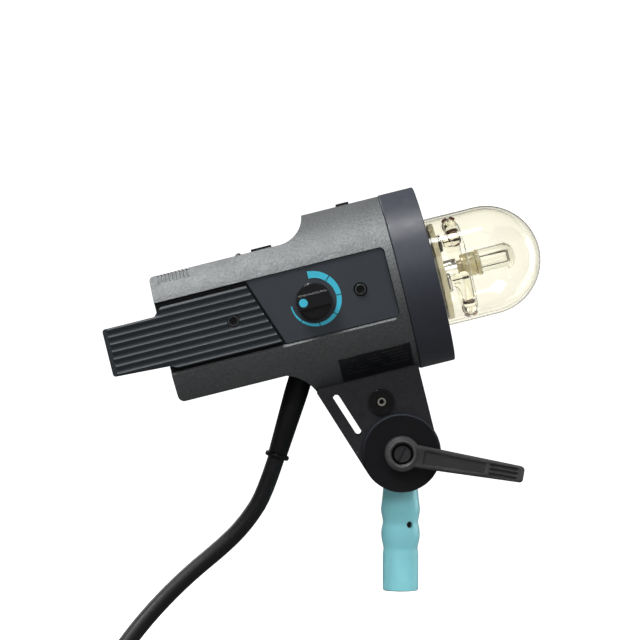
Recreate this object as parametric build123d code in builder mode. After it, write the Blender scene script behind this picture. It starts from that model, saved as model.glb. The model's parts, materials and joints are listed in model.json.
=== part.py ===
"""Monolight strobe: studio flash head on a tilting stand bracket.

Row frame, millimetres: origin at the centre of the stand socket's mouth, +Z up,
+X to the lamp's front. The head pieces are drawn in the head's own frame
(x forward along the lamp, z up, origin on the tilt axis) and placed by HEAD.
"""
import os
from math import cos, pi, radians, sin, sqrt, tan

from build123d import *

os.makedirs("parts", exist_ok=True)

# ---- driving dimensions (mm, degrees) ----
PIVOT_Z = 102.7          # tilt axis above the socket's mouth
TILT = 14.0              # nose-up angle at rest
AXIS_Z = 121.5           # lamp axis above the tilt axis
R_BODY, R_COLLAR = 65.1, 65.65   # front body; accessory collar
WALL = 3.1
REAR_LOW, REAR_HIGH = 75.0, 168.0
REAR_X, BODY_FRONT = -146.9, 28.5
COLLAR_X0, COLLAR_X1 = 28.9, 55.2
RECESS_LOW, RECESS_HIGH, RECESS_FRONT, RECESS_Y = 97.3, 148.5, 22.3, 57.0
KNOB_X, KNOB_Z, KNOB_R = -35.1, 122.8, 12.9
CHEEK_IN, CHEEK_OUT, CHEEK_R, WEB_Z = 15.0, 22.0, 29.0, 44.0
DISC_R, DISC_Y = 28.7, 30.0
LEVER_ANGLE, LEVER_LENGTH = -23.8, 88.8
DOME_R, DOME_WALL, DOME_CYL_X = 40.2, 2.0, 95.3
TUBE_X, TUBE_RING_R, TUBE_R = 75.0, 31.5, 4.8
TUBE_ENDS = (38.0, -16.0)   # where the ring flash tube opens, degrees up from the knob side
BORE_R, BORE_DEPTH = 8.05, 60.0
CORD_R = 6.4
FLOOR_Z = -150.0
COIL_X, COIL_Y, COIL_R = -285.0, 0.0, 70.0
COIL_STEP = 12.95

HEAD = Plane(
    origin=(0, 0, PIVOT_Z),
    x_dir=(cos(radians(TILT)), 0, sin(radians(TILT))),
    z_dir=(-sin(radians(TILT)), 0, cos(radians(TILT))),
)
WAY = {"x": (1, 0, 0), "y": (0, 1, 0), "z": (0, 0, 1)}


def to_row(x, y, z):
    """A head-frame point in the row frame."""
    c, s = cos(radians(TILT)), sin(radians(TILT))
    return (x * c - z * s, y, PIVOT_Z + x * s + z * c)


def rod(axis, a, b, r, u=0.0, v=0.0, mode=Mode.ADD):
    """Cylinder along an axis from a to b; u, v are the other two coordinates."""
    low, high = min(a, b), max(a, b)
    at = {"x": (low, u, v), "y": (u, low, v), "z": (u, v, low)}[axis]
    with Locations(Plane(origin=at, z_dir=WAY[axis])):
        Cylinder(r, high - low, align=(Align.CENTER, Align.CENTER, Align.MIN), mode=mode)


def block(x0, x1, y0, y1, z0, z1, mode=Mode.ADD):
    with Locations((min(x0, x1), min(y0, y1), min(z0, z1))):
        Box(abs(x1 - x0), abs(y1 - y0), abs(z1 - z0), align=(Align.MIN,) * 3, mode=mode)


def hexagon(axis, a, b, across, u=0.0, v=0.0, mode=Mode.ADD):
    """Hexagonal prism along an axis, given across its flats."""
    low, high = min(a, b), max(a, b)
    at = {"x": (low, u, v), "y": (u, low, v), "z": (u, v, low)}[axis]
    with BuildSketch(Plane(origin=at, z_dir=WAY[axis])) as face:
        RegularPolygon(across / sqrt(3), 6)
    extrude(face.sketch, amount=high - low, mode=mode)


def save(builder, name, plane=None):
    shape = builder.part
    if plane is not None:
        shape = shape.moved(plane.location)
    shape.label = name
    export_step(shape, f"parts/{name}.step")


# ---- main housing ----
with BuildPart() as cavity:
    rod("x", -151, BODY_FRONT + 0.1, R_BODY - WALL, 0, AXIS_Z)
    block(-152, 30, -54, 54, 40, 200, mode=Mode.INTERSECT)
    block(-152, -25, -60, 60, REAR_HIGH - 3.5, 200, mode=Mode.SUBTRACT)
    block(-152, -25, -60, 60, 40, REAR_LOW + 3.5, mode=Mode.SUBTRACT)
    rod("x", 25.5, BODY_FRONT + 0.1, R_BODY - WALL, 0, AXIS_Z)

BOOT_DIR = (-0.5124, 0, -0.8588)
BOOT_START = (-52.7, 0, 80.1)
BOOT_LENGTH = 73.2
with BuildPart() as main_housing:
    with BuildSketch(Plane.XZ):
        with BuildLine():
            Polyline((-67.3, REAR_LOW), (REAR_X + 4.4, REAR_LOW))
            ThreePointArc((REAR_X + 4.4, REAR_LOW), (REAR_X + 1.3, REAR_LOW + 1.3), (REAR_X, REAR_LOW + 4.4))
            Line((REAR_X, REAR_LOW + 4.4), (REAR_X, REAR_HIGH - 3.2))
            ThreePointArc((REAR_X, REAR_HIGH - 3.2), (REAR_X + 0.94, REAR_HIGH - 0.94), (REAR_X + 3.2, REAR_HIGH))
            Line((REAR_X + 3.2, REAR_HIGH), (-49.5, REAR_HIGH))
            ThreePointArc((-49.5, REAR_HIGH), (-35.4, 173.9), (-29.3, 186.9))
            Polyline((-29.3, 186.9), (-29.3, 195), (BODY_FRONT, 195), (BODY_FRONT, 48), (-48.8, 48), (-48.8, 56.1))
            ThreePointArc((-48.8, 56.1), (-56.9, 69.0), (-67.3, REAR_LOW))
        make_face()
    extrude(amount=70, both=True)
    rod("x", -150, 40, R_BODY, 0, AXIS_Z, mode=Mode.INTERSECT)
    add(cavity.part, mode=Mode.SUBTRACT)
    for side in (1, -1):
        with BuildSketch(Plane.XZ.offset(side * RECESS_Y)) as recess:
            with BuildLine():
                Polyline((-155, RECESS_LOW), (RECESS_FRONT, RECESS_LOW), (RECESS_FRONT, RECESS_HIGH), (-155, RECESS_HIGH), close=True)
            make_face()
            fillet(recess.vertices().group_by(Axis.X)[-1], 3.6)
        extrude(amount=side * 20, mode=Mode.SUBTRACT)
        # sloping lower edge of the recess
        with BuildSketch(Plane.YZ.offset(-160)) as slope:
            with BuildLine():
                Polyline((-side * 57.5, RECESS_LOW + 0.01), (-side * 66.0, RECESS_LOW + 0.01), (-side * 66.0, RECESS_LOW - 7.0), close=True)
            make_face()
        extrude(slope.sketch, amount=160 + 19.0, mode=Mode.SUBTRACT)
    # slots in the top for warm air, openings for the switch, button and sensor
    for k in range(9):
        block(-140.6 + k * 2.7, -139.3 + k * 2.7, -28, 28, 160, 170, mode=Mode.SUBTRACT)
        block(-140.6 + k * 2.7, -139.3 + k * 2.7, -60, 60, REAR_HIGH - 1.2, 170, mode=Mode.SUBTRACT)
        with BuildPart(mode=Mode.PRIVATE) as flank_groove:
            rod("x", -140.6 + k * 2.7, -139.3 + k * 2.7, R_BODY + 2, 0, AXIS_Z)
            rod("x", -141, -110, R_BODY - 0.8, 0, AXIS_Z, mode=Mode.SUBTRACT)
            block(-141, -110, -70, 70, 161.5, 200, mode=Mode.INTERSECT)
        add(flank_groove.part, mode=Mode.SUBTRACT)
    block(-72.0, -55.5, -5.1, 5.1, 160, 175, mode=Mode.SUBTRACT)
    block(-3.2, 7.2, -4.2, 4.2, 175, 192, mode=Mode.SUBTRACT)
    rod("z", 160, 172, 2.7, -81.5, 0, mode=Mode.SUBTRACT)
    # side holes: handle screws, panel screws, control shaft
    rod("y", -60, 60, 2.6, -94.6, 122.7, mode=Mode.SUBTRACT)
    rod("y", -60, 60, 2.6, -0.9, 122.6, mode=Mode.SUBTRACT)
    rod("y", -60, -50, 4.2, KNOB_X, KNOB_Z, mode=Mode.SUBTRACT)
    # bracket screws and cable exit
    for sx in (-15, 15):
        for sy in (-9, 9):
            rod("z", 50, 64, 2.6, sx, sy, mode=Mode.SUBTRACT)
    with Locations(Plane(origin=BOOT_START, z_dir=BOOT_DIR)):
        Cylinder(8.8, 60, align=(Align.CENTER, Align.CENTER, Align.CENTER), mode=Mode.SUBTRACT)
save(main_housing, "main_housing", HEAD)

# ---- rear cover, its controls and the fan ----
REAR_CTRL_Z, COVER_FACE = 157.5, -145.2
with BuildPart() as rear_cover:
    rod("x", COVER_FACE, -142.0, R_BODY - WALL - 0.15, 0, AXIS_Z)
    block(-150, -140, -53.85, 53.85, REAR_LOW + 3.65, REAR_HIGH - 3.65, mode=Mode.INTERSECT)
    chamfer(rear_cover.faces().sort_by(Axis.X)[0].edges(), 0.5)
    for k in range(-4, 5):
        half = sqrt(27.0**2 - (k * 5.6) ** 2)
        block(-150, -140, -half, half, AXIS_Z + k * 5.6 - 1.4, AXIS_Z + k * 5.6 + 1.4, mode=Mode.SUBTRACT)
    block(COVER_FACE, -142.0, -1.5, 1.5, AXIS_Z - 27.5, AXIS_Z + 27.5)
    rod("x", COVER_FACE, -142.0, 12.5, 0, AXIS_Z)
    rod("x", -150, -140, 5.05, -20, REAR_CTRL_Z, mode=Mode.SUBTRACT)
    rod("x", -150, -140, 6.05, 20, REAR_CTRL_Z, mode=Mode.SUBTRACT)
    rod("x", -150, -140, 3.3, 0, REAR_CTRL_Z, mode=Mode.SUBTRACT)
    block(-150, -140, -9.9, 9.9, 78.5, 91.5, mode=Mode.SUBTRACT)
save(rear_cover, "rear_cover", HEAD)

SYNC_X = -146.4
with BuildPart() as sync_socket:
    rod("x", SYNC_X, -132, 5.0, -20, REAR_CTRL_Z)
    rod("x", SYNC_X, SYNC_X + 14, 3.2, -20, REAR_CTRL_Z, mode=Mode.SUBTRACT)
save(sync_socket, "sync_socket", HEAD)

with BuildPart() as fuse_cap:
    rod("x", -146.6, -135, 6.0, 20, REAR_CTRL_Z)
    block(-150, -145.6, 14, 26, REAR_CTRL_Z - 0.6, REAR_CTRL_Z + 0.6, mode=Mode.SUBTRACT)
save(fuse_cap, "fuse_cap", HEAD)

with BuildPart() as test_button:
    rod("x", -146.8, -137.6, 3.2, 0, REAR_CTRL_Z)
    rod("x", -140.4, -137.6, 4.6, 0, REAR_CTRL_Z)
save(test_button, "test_button", HEAD)

with BuildPart() as power_switch:
    with BuildSketch(Plane.XY.offset(79.0)) as rocker_face:
        with BuildLine():
            Polyline((-141.0, -9.2), (-146.6, -9.2), (-145.4, 0), (-146.6, 9.2), (-141.0, 9.2), close=True)
        make_face()
    extrude(rocker_face.sketch, amount=12.0)
    rod("z", 78, 92, 1.0, -143.0, 0, mode=Mode.SUBTRACT)
power_switch_part = power_switch.part.rotate(Axis((-143.0, 0, 85), (0, 0, 1)), -3.0)
power_switch_part = power_switch_part.moved(HEAD.location)
power_switch_part.label = "power_switch"
export_step(power_switch_part, "parts/power_switch.step")

with BuildPart() as fan_frame:
    block(-140.9, -121, -30, 30, AXIS_Z - 30, AXIS_Z + 30)
    rod("x", -142, -120, 28.0, 0, AXIS_Z, mode=Mode.SUBTRACT)
    for k in range(3):
        with BuildSketch(Plane(origin=(-121, 0, AXIS_Z), z_dir=(-1, 0, 0)).rotated((0, 0, k * 120 + 30))) as strut:
            Rectangle(30, 4, align=(Align.MIN, Align.CENTER))
        extrude(strut.sketch, amount=2.5)
    rod("x", -123.5, -121, 12, 0, AXIS_Z)
    rod("x", -137, -121, 2.0, 0, AXIS_Z)
save(fan_frame, "fan_frame", HEAD)

with BuildPart() as fan_rotor:
    rod("x", -138.5, -125, 11.0, 0, AXIS_Z)
    rod("x", -138, -120, 2.06, 0, AXIS_Z, mode=Mode.SUBTRACT)
    for k in range(7):
        a = 2 * pi * k / 7
        radial, around = Vector(0, cos(a), sin(a)), Vector(0, -sin(a), cos(a))
        pitch = (Vector(1, 0, 0) + around * 0.9).normalized()
        with BuildSketch(Plane(origin=(-131.7, 0, AXIS_Z), x_dir=radial, z_dir=pitch)) as vane:
            with Locations((18.7, 0)):
                Rectangle(16.6, 11.0)
        extrude(vane.sketch, amount=0.7, both=True)
save(fan_rotor, "fan_rotor", HEAD)

# ---- front collar, plate, glass, lamps ----
with BuildPart() as front_collar:
    rod("x", COLLAR_X0, COLLAR_X1, R_COLLAR, 0, AXIS_Z)
    chamfer(front_collar.edges().filter_by(GeomType.CIRCLE), 0.5)
    rod("x", COLLAR_X0 - 1, COLLAR_X1 + 1, 62.0, 0, AXIS_Z, mode=Mode.SUBTRACT)
    with BuildPart() as shelf:
        rod("x", 25.8, 43.4, 61.95, 0, AXIS_Z)
        rod("x", 25.0, 40.4, 59.6, 0, AXIS_Z, mode=Mode.SUBTRACT)
        rod("x", 25.0, 44.0, 42.5, 0, AXIS_Z, mode=Mode.SUBTRACT)
    rod("x", COLLAR_X0, 43.4, 62.2, 0, AXIS_Z)
    rod("x", 25.0, 40.4, 59.6, 0, AXIS_Z, mode=Mode.SUBTRACT)
    rod("x", 25.0, 44.0, 42.5, 0, AXIS_Z, mode=Mode.SUBTRACT)
    block(COLLAR_X0 - 1, COLLAR_X0 + 2.2, -4, 4, AXIS_Z + R_BODY - 1.5, AXIS_Z + R_BODY + 2, mode=Mode.SUBTRACT)
save(front_collar, "front_collar", HEAD)

with BuildPart() as front_plate:
    rod("x", 46.0, 49.0, 61.9, 0, AXIS_Z)
    rod("x", 45, 50, 40.6, 0, AXIS_Z, mode=Mode.SUBTRACT)
save(front_plate, "front_plate", HEAD)

with BuildPart() as glass_dome:
    with BuildSketch(Plane.XZ) as dome_section:
        with BuildLine():
            inner = DOME_R - DOME_WALL
            tip_in, tip_out = DOME_CYL_X + inner, DOME_CYL_X + DOME_R
            mid = sin(radians(45))
            Polyline((45.9, AXIS_Z + 50), (43.5, AXIS_Z + 50), (43.5, AXIS_Z + inner), (DOME_CYL_X, AXIS_Z + inner))
            ThreePointArc((DOME_CYL_X, AXIS_Z + inner), (DOME_CYL_X + inner * mid, AXIS_Z + inner * mid), (tip_in, AXIS_Z))
            Line((tip_in, AXIS_Z), (tip_out, AXIS_Z))
            ThreePointArc((tip_out, AXIS_Z), (DOME_CYL_X + DOME_R * mid, AXIS_Z + DOME_R * mid), (DOME_CYL_X, AXIS_Z + DOME_R))
            Polyline((DOME_CYL_X, AXIS_Z + DOME_R), (45.9, AXIS_Z + DOME_R), (45.9, AXIS_Z + 50))
        make_face()
    revolve(dome_section.sketch, axis=Axis((0, 0, AXIS_Z), (1, 0, 0)), revolution_arc=360)
save(glass_dome, "glass_dome", HEAD)

with BuildPart() as base_plate:
    rod("x", 58.5, 62.5, 36.0, 0, AXIS_Z)
    rod("x", 24.1, 58.5, 15.0, 0, AXIS_Z)
    rod("x", 24.0, 63, 5.1, 0, AXIS_Z, mode=Mode.SUBTRACT)
    rod("x", 24.0, 56, 12.5, 0, AXIS_Z, mode=Mode.SUBTRACT)
    for a in TUBE_ENDS:
        rod("x", 58, 63, 4.1, -TUBE_RING_R * cos(radians(a)), AXIS_Z + TUBE_RING_R * sin(radians(a)), mode=Mode.SUBTRACT)
save(base_plate, "base_plate", HEAD)

with BuildPart() as flash_tube:
    with BuildSketch(Plane.XZ) as tube_section:
        with Locations((TUBE_X, AXIS_Z + TUBE_RING_R)):
            Circle(TUBE_R)
    start = tube_section.sketch.rotate(Axis((0, 0, AXIS_Z), (1, 0, 0)), 90.0 - TUBE_ENDS[1])
    revolve(start, axis=Axis((0, 0, AXIS_Z), (1, 0, 0)), revolution_arc=360 - (TUBE_ENDS[0] - TUBE_ENDS[1]))
    for a in TUBE_ENDS:
        rod("x", 56.0, TUBE_X, 4.0, -TUBE_RING_R * cos(radians(a)), AXIS_Z + TUBE_RING_R * sin(radians(a)))
        with Locations((TUBE_X, -TUBE_RING_R * cos(radians(a)), AXIS_Z + TUBE_RING_R * sin(radians(a)))):
            Sphere(TUBE_R)
save(flash_tube, "flash_tube", HEAD)

with BuildPart() as tube_sleeves:
    for side in (1, -1):
        with BuildSketch(Plane.XZ) as ring:
            with Locations((TUBE_X, AXIS_Z + side * TUBE_RING_R)):
                Circle(TUBE_R + 0.5)
                Circle(TUBE_R + 0.05, mode=Mode.SUBTRACT)
        start = ring.sketch.rotate(Axis((0, 0, AXIS_Z), (1, 0, 0)), -8)
        revolve(start, axis=Axis((0, 0, AXIS_Z), (1, 0, 0)), revolution_arc=16)
save(tube_sleeves, "tube_sleeves", HEAD)

with BuildPart() as trigger_wire:
    with BuildSketch(Plane.XZ) as wire_section:
        with Locations((TUBE_X + TUBE_R + 0.95, AXIS_Z + TUBE_RING_R)):
            Circle(0.35)
    revolve(wire_section.sketch, axis=Axis((0, 0, AXIS_Z), (1, 0, 0)), revolution_arc=360)
save(trigger_wire, "trigger_wire", HEAD)

with BuildPart() as lamp_socket:
    rod("x", 50.0, 88.0, 5.0, 0, AXIS_Z)
    rod("x", 76.5, 87.8, 9.0, 0, AXIS_Z)
    chamfer(lamp_socket.edges().filter_by(GeomType.CIRCLE).group_by(SortBy.RADIUS)[-1], 0.8)
    rod("x", 87.7, 89.9, 9.9, 0, AXIS_Z)
save(lamp_socket, "lamp_socket", HEAD)

with BuildPart() as lamp_cap:
    rod("x", 62.8, 73.1, 7.3, 0, AXIS_Z)
    rod("x", 62, 74, 5.05, 0, AXIS_Z, mode=Mode.SUBTRACT)
save(lamp_cap, "lamp_cap", HEAD)

with BuildPart() as modelling_lamp:
    for start, r_out, tip, mode in ((90.0, 9.8, 117.0, Mode.ADD), (91.0, 8.8, 116.0, Mode.SUBTRACT)):
        with BuildSketch(Plane.XZ) as bulb_section:
            with BuildLine():
                bend = tip - 6.0
                Polyline((bend, AXIS_Z + r_out), (start, AXIS_Z + r_out), (start, AXIS_Z), (tip, AXIS_Z))
                ThreePointArc((tip, AXIS_Z), (bend + 4.3, AXIS_Z + 0.7 * r_out), (bend, AXIS_Z + r_out))
            make_face()
        revolve(bulb_section.sketch, axis=Axis((0, 0, AXIS_Z), (1, 0, 0)), revolution_arc=360, mode=mode)
save(modelling_lamp, "modelling_lamp", HEAD)

with BuildPart() as lamp_filament:
    rod("x", 91.1, 112.0, 0.45, 0, AXIS_Z + 3.6)
    rod("x", 91.1, 112.0, 0.45, 0, AXIS_Z - 4.4)
    rod("z", AXIS_Z - 4.4, AXIS_Z + 3.6, 0.45, 112.0, 0)
    rod("z", AXIS_Z - 4.4, AXIS_Z + 3.6, 0.9, 103.0, 0)
save(lamp_filament, "lamp_filament", HEAD)

# ---- inside the housing ----
with BuildPart() as chassis:
    block(-119, 22, -53.8, 53.8, 117.0, 118.6)
    rod("x", 22.0, 24.0, 53.8, 0, AXIS_Z)
    rod("x", 21, 25, 14.0, 0, AXIS_Z, mode=Mode.SUBTRACT)
    block(-50, -20, -60, -40, 110, 135, mode=Mode.SUBTRACT)
save(chassis, "chassis", HEAD)

with BuildPart() as capacitor_bank:
    for cy in (-19, 19):
        for cz in (138.5, 98.5):
            rod("x", -114, -54, 17.0, cy, cz)
save(capacitor_bank, "capacitor_bank", HEAD)

with BuildPart() as power_board:
    block(-49.5, -48.0, -48, 48, 122.0, 160)
    block(-48, -36, -25, -5, 126, 146)
    block(-48, -34, 8, 30, 128, 150)
    rod("x", -48, -30, 6, 0, 153)
save(power_board, "power_board", HEAD)

with BuildPart() as trigger_coil:
    rod("x", -10, 14, 9.0, 22, 135)
    rod("x", -12, 16, 3.0, 22, 135)
save(trigger_coil, "trigger_coil", HEAD)

# ---- side panels, power control ----
for name, side in (("side_panel_right", 1), ("side_panel_left", -1)):
    with BuildPart() as side_panel:
        with BuildSketch(Plane.XZ.offset(side * 57.05)) as face:
            with BuildLine():
                Polyline((-61.6, 97.6), (RECESS_FRONT - 0.3, 97.6), (RECESS_FRONT - 0.3, 148.2), (-79.3, 148.2), close=True)
            make_face()
            fillet(face.vertices().group_by(Axis.X)[-1], 3.3)
            with Locations((-0.9, 122.6)):
                Circle(5.0, mode=Mode.SUBTRACT)
            if side > 0:
                with Locations((KNOB_X, KNOB_Z)):
                    Circle(4.2, mode=Mode.SUBTRACT)
        extrude(face.sketch, amount=side * 1.2)
    save(side_panel, name, HEAD)

with BuildPart() as power_scale:
    for k in range(6):
        a0, a1 = 90.0 - 45.0 * k - (0.0 if k == 0 else 1.1), 90.0 - 45.0 * (k + 1) + 1.1
        n = 9
        angles = [a0 + (a1 - a0) * i / (n - 1) for i in range(n)]
        outer = [(21.5 - 4.3 * (90.0 - a) / 270.0, a) for a in angles]
        inner = [(16.3, a) for a in reversed(angles)]
        pts = [(KNOB_X + r * cos(radians(a)), KNOB_Z + r * sin(radians(a))) for r, a in outer + inner]
        with BuildSketch(Plane.XZ.offset(58.25)) as segment:
            with BuildLine():
                Polyline(*pts, close=True)
            make_face()
        extrude(segment.sketch, amount=0.25)
save(power_scale, "power_scale", HEAD)

with BuildPart() as power_knob:
    rod("y", -59.1, -66.2, KNOB_R, KNOB_X, KNOB_Z)
    chamfer(power_knob.edges().filter_by(GeomType.CIRCLE).group_by(Axis.Y)[0], 0.6)
    with BuildSketch(Plane.XZ.offset(66.2)) as bar:
        with Locations((KNOB_X, KNOB_Z)):
            Circle(KNOB_R - 0.3)
            Rectangle(30, 10.8, mode=Mode.INTERSECT)
    extrude(bar.sketch, amount=5.8, taper=5)
    rod("y", -46, -59.2, 3.0, KNOB_X, KNOB_Z)
    rod("y", -71.4, -73, 3.1, KNOB_X - 7.8, KNOB_Z, mode=Mode.SUBTRACT)
save(power_knob, "power_knob", HEAD)

with BuildPart() as knob_dot:
    rod("y", -71.4, -72.05, 3.05, KNOB_X - 7.8, KNOB_Z)
save(knob_dot, "knob_dot", HEAD)

with BuildPart() as power_potentiometer:
    rod("y", -44.5, -53.8, 8.0, KNOB_X, KNOB_Z)
    rod("y", -53.8, -58.0, 4.1, KNOB_X, KNOB_Z)
    rod("y", -45.5, -59, 3.05, KNOB_X, KNOB_Z, mode=Mode.SUBTRACT)
save(power_potentiometer, "power_potentiometer", HEAD)

# ---- rear handle ----
with BuildPart() as side_outline:
    with BuildSketch(Plane.XZ) as outline:
        with BuildLine():
            Polyline((-80.0, 144.9), (-64.4, 99.6), (-140.0, 99.6), (-146.5, 102.1), (-188.0, 104.3), (-188.0, 139.2), (-149.0, 139.2), (-143.0, 144.9), close=True)
        make_face()
        fillet(outline.vertices().group_by(Axis.X)[0], 2.6)
    extrude(outline.sketch, amount=80, both=True)
with BuildPart() as rear_handle:
    with BuildSketch(Plane.XY.offset(95)) as loop:
        with Locations((-188, 0)):
            RectangleRounded(260, 121.2, 5.0, align=(Align.MIN, Align.CENTER))
        with Locations((-182.0, 0)):
            RectangleRounded(260, 114.2, 3.0, align=(Align.MIN, Align.CENTER), mode=Mode.SUBTRACT)
    extrude(loop.sketch, amount=55)
    for side in (1, -1):
        for k in range(9):
            z = 144.9 - 5.36 * k
            with BuildSketch(Plane.YZ.offset(-184.2)) as tooth:
                with BuildLine():
                    Polyline((-side * 60.4, z), (-side * 62.2, z - 1.7), (-side * 60.4, z - 4.7), close=True)
                make_face()
            extrude(tooth.sketch, amount=134)
    add(side_outline.part, mode=Mode.INTERSECT)
    for side in (1, -1):
        rod("y", -side * 50, -side * 70, 2.7, -94.6, 122.7, mode=Mode.SUBTRACT)
        rod("y", -side * 58.6, -side * 70, 4.5, -94.6, 122.7, mode=Mode.SUBTRACT)
save(rear_handle, "rear_handle", HEAD)

for name, sx, sz, base in (("handle_screws", -94.6, 122.7, 58.6), ("panel_screws", -0.9, 122.6, 57.05)):
    with BuildPart() as screws:
        for side in (1, -1):
            rod("y", -side * base, -side * (base + 2.6), 3.9, sx, sz)
            rod("y", -side * 51.5, -side * (base + 0.1), 2.5, sx, sz)
            hexagon("y", -side * (base + 1.2), -side * (base + 2.7), 4.0, sx, sz, mode=Mode.SUBTRACT)
    save(screws, name, HEAD)

# ---- top pieces, plate ----
with BuildPart() as release_button:
    block(-2.9, 6.9, -3.9, 3.9, 180.0, AXIS_Z + R_BODY + 1.7)
    fillet(release_button.faces().sort_by(Axis.Z)[-1].edges(), 0.7)
    block(-5.5, 9.5, -6.5, 6.5, 178.5, 181.0)
save(release_button, "release_button", HEAD)

with BuildPart() as model_switch:
    block(-71.5, -56.0, -4.8, 4.8, 163.2, 171.1)
    fillet(model_switch.faces().sort_by(Axis.Z)[-1].edges(), 0.5)
    rod("y", -6, 6, 0.9, -63.75, 166.0, mode=Mode.SUBTRACT)
save(model_switch, "model_switch", HEAD)

with BuildPart() as photocell:
    rod("z", 163, 168.3, 2.65, -81.5, 0)
    with Locations((-81.5, 0, 168.3)):
        Sphere(2.6)
save(photocell, "photocell", HEAD)

with BuildPart() as rating_plate:
    rod("x", -28.5, 24.5, R_BODY + 0.45, 0, AXIS_Z)
    rod("x", -29, 25, R_BODY + 0.05, 0, AXIS_Z, mode=Mode.SUBTRACT)
    low, high = radians(-69), radians(-43)
    with BuildSketch(Plane.YZ.offset(-30)) as wedge:
        with BuildLine():
            Polyline(
                (0, AXIS_Z),
                (-90 * cos(low), AXIS_Z + 90 * sin(low)),
                (-90 * cos((low + high) / 2) * 1.1, AXIS_Z + 90 * 1.1 * sin((low + high) / 2)),
                (-90 * cos(high), AXIS_Z + 90 * sin(high)),
                close=True,
            )
        make_face()
    extrude(wedge.sketch, amount=60, mode=Mode.INTERSECT)
save(rating_plate, "rating_plate", HEAD)

# ---- tilt bracket and clamp ----
with BuildPart() as tilt_bracket:
    with BuildSketch(Plane.XZ) as cheek:
        with BuildLine():
            Polyline((-49.4, 56.5), (-27.5, -9.2), (0, 0), (27.3, 9.8), (27.3, 75), (-49.4, 75), close=True)
        make_face()
        Circle(CHEEK_R)
    extrude(cheek.sketch, amount=CHEEK_OUT, both=True)
    block(-80, 60, -CHEEK_IN, CHEEK_IN, -60, WEB_Z, mode=Mode.SUBTRACT)
    rod("x", -100, 60, R_BODY + 0.05, 0, AXIS_Z, mode=Mode.SUBTRACT)
    block(-80, -48.75, -30, 30, 57.5, 80, mode=Mode.SUBTRACT)
    with BuildSketch(Plane.XZ) as slot:
        with Locations(Location((-31.65, 35.65, 0), (0, 0, -71.3))):
            SlotCenterToCenter(30.3, 4.8)
    extrude(slot.sketch, amount=40, both=True, mode=Mode.SUBTRACT)
    rod("y", -30, 30, 4.1, 0, 0, mode=Mode.SUBTRACT)
    rod("y", -30, 30, 2.6, -5.1, 39.5, mode=Mode.SUBTRACT)
    for sx in (-15, 15):
        for sy in (-9, 9):
            rod("z", 40, 70, 2.6, sx, sy, mode=Mode.SUBTRACT)
            rod("z", 40, 48, 4.6, sx, sy, mode=Mode.SUBTRACT)
save(tilt_bracket, "tilt_bracket", HEAD)

with BuildPart() as bracket_screws:
    for sx in (-15, 15):
        for sy in (-9, 9):
            rod("z", 44.2, 47.9, 4.4, sx, sy)
            rod("z", 47.8, 62, 2.5, sx, sy)
            hexagon("z", 44.0, 46.2, 4.0, sx, sy, mode=Mode.SUBTRACT)
save(bracket_screws, "bracket_screws", HEAD)

with BuildPart() as bracket_bolt:
    rod("y", -23.5, 23.5, 2.5, -5.1, 39.5)
    for side in (1, -1):
        rod("y", side * 23.4, side * 26.4, 3.8, -5.1, 39.5)
        hexagon("y", side * 24.6, side * 26.5, 4.0, -5.1, 39.5, mode=Mode.SUBTRACT)
save(bracket_bolt, "bracket_bolt", HEAD)

with BuildPart() as bracket_bolt_cups:
    for side in (1, -1):
        rod("y", side * 22.05, side * 26.0, 9.5, -5.1, 39.5)
        rod("y", side * 23.35, side * 27.0, 7.4, -5.1, 39.5, mode=Mode.SUBTRACT)
        rod("y", side * 22.0, side * 24.0, 2.6, -5.1, 39.5, mode=Mode.SUBTRACT)
save(bracket_bolt_cups, "bracket_bolt_cups", HEAD)

with BuildPart() as tilt_disc:
    rod("y", -22.05, -DISC_Y, DISC_R)
    chamfer(tilt_disc.edges().filter_by(GeomType.CIRCLE).group_by(Axis.Y)[0], 1.0)
    rod("y", -20, -32, 4.1, mode=Mode.SUBTRACT)
save(tilt_disc, "tilt_disc", HEAD)

with BuildPart() as tilt_disc_far:
    rod("y", 22.05, DISC_Y, DISC_R)
    chamfer(tilt_disc_far.edges().filter_by(GeomType.CIRCLE).group_by(Axis.Y)[-1], 1.0)
    hexagon("y", 25.0, 32, 13.2, mode=Mode.SUBTRACT)
    rod("y", 20, 32, 4.1, mode=Mode.SUBTRACT)
save(tilt_disc_far, "tilt_disc_far", HEAD)

with BuildPart() as friction_washers:
    for side in (1, -1):
        rod("y", side * 12.05, side * 14.95, 22.5)
        rod("y", side * 12.0, side * 15.0, 4.15, mode=Mode.SUBTRACT)
save(friction_washers, "friction_washers", HEAD)

with BuildPart() as tilt_bolt:
    rod("y", -36.2, 26, 4.0)
    hexagon("y", 25.1, 30.0, 13.0)
save(tilt_bolt, "tilt_bolt", HEAD)

with BuildPart() as lever_insert:
    rod("y", -30.2, -37.3, 7.0)
    rod("y", -37.2, -43.4, 4.1)
    rod("y", -30.0, -36.6, 4.05, mode=Mode.SUBTRACT)
    rod("y", -36.0, -44.0, 2.5, mode=Mode.SUBTRACT)
save(lever_insert, "lever_insert", HEAD)

with BuildPart() as lever_screw:
    rod("y", -36.9, -43.5, 2.45)
    rod("y", -43.45, -45.5, 7.1)
    chamfer(lever_screw.edges().filter_by(GeomType.CIRCLE).group_by(Axis.Y)[0], 0.5)
    with BuildSketch(Plane.XZ.offset(44.3)) as screw_slot:
        Rectangle(18, 1.4, rotation=48)
    extrude(screw_slot.sketch, amount=3, mode=Mode.SUBTRACT)
save(lever_screw, "lever_screw", HEAD)

with BuildPart() as lever_spring:
    for k in range(3):
        with Locations(Plane(origin=(0, -40.1 - 1.35 * k, 0), z_dir=(0, 1, 0))):
            Torus(5.6, 0.5)
save(lever_spring, "lever_spring", HEAD)

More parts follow.
